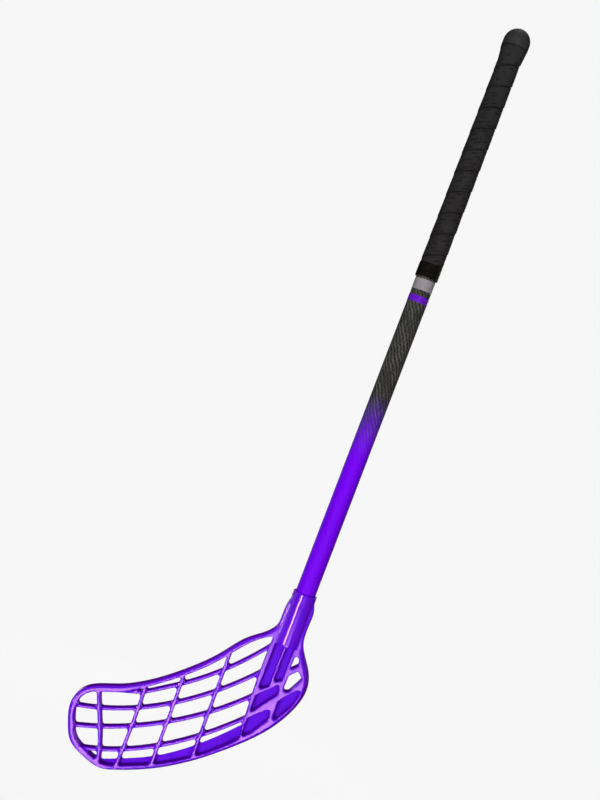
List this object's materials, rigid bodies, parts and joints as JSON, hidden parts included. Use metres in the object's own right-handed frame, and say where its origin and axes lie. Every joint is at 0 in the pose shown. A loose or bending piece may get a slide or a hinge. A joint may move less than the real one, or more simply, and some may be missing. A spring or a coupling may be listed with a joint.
{
  "type": "floorball stick",
  "caption": "Floorball stick with a hollow shaft, wound grip with a domed butt plug, and a hooked lattice blade on a tight socket.",
  "frame": {"origin": "on the shaft's axis, in the middle of the upper hand's hold on the grip", "axes": "+Z along the shaft towards the butt, -X towards the blade's toe, -Y out of the blade's hollow face"},
  "size_m": [0.215, 0.0344, 0.8353],
  "materials": {
    "shaft_composite": "satin lacquer over composite weave, dark at the top and violet below",
    "plug_plastic": "moulded black",
    "grip_foam": "matte embossed foam tape",
    "gloss_tape": "glossy stretched tape",
    "label_film": "satin grey film",
    "band_film": "satin violet film",
    "blade_plastic": "semi-gloss moulded"
  },
  "bodies": {
    "handle": {"shaft_tube": "shaft_composite", "butt_plug": "plug_plastic", "grip_tape": "grip_foam", "finishing_tape": "gloss_tape", "shaft_label": "label_film", "accent_band": "band_film"},
    "blade": {"blade": "blade_plastic"}
  },
  "joints": [
    {"name": "blade_pull", "type": "slide", "parent": "handle", "child": "blade", "axis": [0, 0, -1], "range_m": [0, 0.09]}
  ]
}
